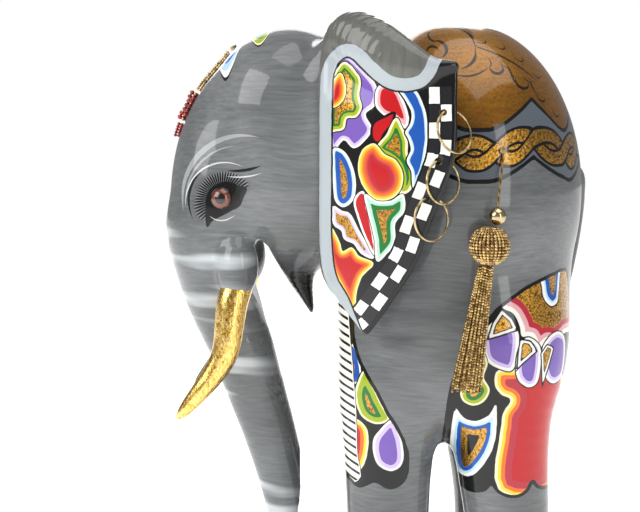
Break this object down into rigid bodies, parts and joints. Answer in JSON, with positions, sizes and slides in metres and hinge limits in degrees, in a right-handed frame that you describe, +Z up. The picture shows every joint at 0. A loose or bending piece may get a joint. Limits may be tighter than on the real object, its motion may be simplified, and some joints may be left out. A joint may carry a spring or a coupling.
{
  "type": "elephant figurine",
  "caption": "Standing elephant figurine in lacquered carved wood with pegged ears, gilt tusks, swinging ear hoops and hanging bead tassels.",
  "frame": {"origin": "on the floor in the symmetry plane, midway between the forehead and the rump", "axes": "+Z up, -Y towards the head, +X towards the left side of the animal"},
  "size_m": [0.1992, 0.2742, 0.3955],
  "materials": {
    "lacquered_wood": "carved wood, brushed grey paint and painted ornament under clear gloss lacquer",
    "bare_wood": "plain turned hardwood dowel",
    "gold_leaf": "gold leaf burnished over dark size",
    "eye_glass": "polished glass eye with a brown iris",
    "brass": "pale polished brass wire and balls",
    "gold_beads": "strung gold seed beads",
    "red_glass": "red glass stones in gold beads",
    "gold_thread": "twisted gold thread",
    "felt": "dark wool felt"
  },
  "bodies": {
    "root": {"torso": "lacquered_wood", "head": "lacquered_wood", "trunk": "lacquered_wood", "lower_jaw": "lacquered_wood", "neck_dowel": "bare_wood", "trunk_dowel": "lacquered_wood", "jaw_dowel": "bare_wood", "tail": "lacquered_wood", "leg_front_left": "lacquered_wood", "leg_dowel_front_left": "bare_wood", "felt_pad_front_left": "felt", "leg_front_right": "lacquered_wood", "leg_dowel_front_right": "bare_wood", "felt_pad_front_right": "felt", "leg_rear_left": "lacquered_wood", "leg_dowel_rear_left": "bare_wood", "felt_pad_rear_left": "felt", "leg_rear_right": "lacquered_wood", "leg_dowel_rear_right": "bare_wood", "felt_pad_rear_right": "felt", "ear_left": "lacquered_wood", "ear_right": "lacquered_wood", "ear_peg_left": "bare_wood", "ear_peg_right": "bare_wood", "tusk_left": "gold_leaf", "eye_left": "eye_glass", "tusk_right": "gold_leaf", "eye_right": "eye_glass", "tassel_pin_left": "brass", "tassel_pin_right": "brass", "forehead_pin": "brass", "forehead_chain": "gold_beads", "forehead_stones": "red_glass", "forehead_drop": "red_glass"},
    "hoop_left_1": {"ear_hoop_left_1": "brass"},
    "hoop_left_2": {"ear_hoop_left_2": "brass"},
    "hoop_left_3": {"ear_hoop_left_3": "brass"},
    "tassel_left": {"tassel_cord_left": "gold_thread", "tassel_ball_left": "brass", "tassel_head_left": "gold_beads", "tassel_strings_left": "gold_beads"},
    "hoop_right_1": {"ear_hoop_right_1": "brass"},
    "hoop_right_2": {"ear_hoop_right_2": "brass"},
    "hoop_right_3": {"ear_hoop_right_3": "brass"},
    "tassel_right": {"tassel_cord_right": "gold_thread", "tassel_ball_right": "brass", "tassel_head_right": "gold_beads", "tassel_strings_right": "gold_beads"}
  },
  "joints": [
    {"name": "hoop_left_1_swing", "type": "hinge", "parent": "root", "child": "hoop_left_1", "pos_m": [0.09154, 0.0356, 0.337], "axis": [0.9914, -0.1306, 0], "range_deg": [0, 112]},
    {"name": "hoop_left_2_swing", "type": "hinge", "parent": "root", "child": "hoop_left_2", "pos_m": [0.09162, 0.0325, 0.309], "axis": [0.9895, -0.1446, 0], "range_deg": [0, 75]},
    {"name": "hoop_left_3_swing", "type": "hinge", "parent": "root", "child": "hoop_left_3", "pos_m": [0.09059, 0.0262, 0.2875], "axis": [0.9841, -0.1774, 0], "range_deg": [0, 50]},
    {"name": "tassel_left_swing", "type": "hinge", "parent": "root", "child": "tassel_left", "pos_m": [0.07214, 0.073, 0.315], "axis": [1, 0, 0], "range_deg": [-12, 38]},
    {"name": "hoop_right_1_swing", "type": "hinge", "parent": "root", "child": "hoop_right_1", "pos_m": [-0.09154, 0.0356, 0.337], "axis": [0.9914, 0.1306, 0], "range_deg": [0, 112]},
    {"name": "hoop_right_2_swing", "type": "hinge", "parent": "root", "child": "hoop_right_2", "pos_m": [-0.09162, 0.0325, 0.309], "axis": [0.9895, 0.1446, 0], "range_deg": [0, 75]},
    {"name": "hoop_right_3_swing", "type": "hinge", "parent": "root", "child": "hoop_right_3", "pos_m": [-0.09059, 0.0262, 0.2875], "axis": [0.9841, 0.1774, 0], "range_deg": [0, 50]},
    {"name": "tassel_right_swing", "type": "hinge", "parent": "root", "child": "tassel_right", "pos_m": [-0.07214, 0.073, 0.315], "axis": [1, 0, 0], "range_deg": [-12, 38]}
  ]
}
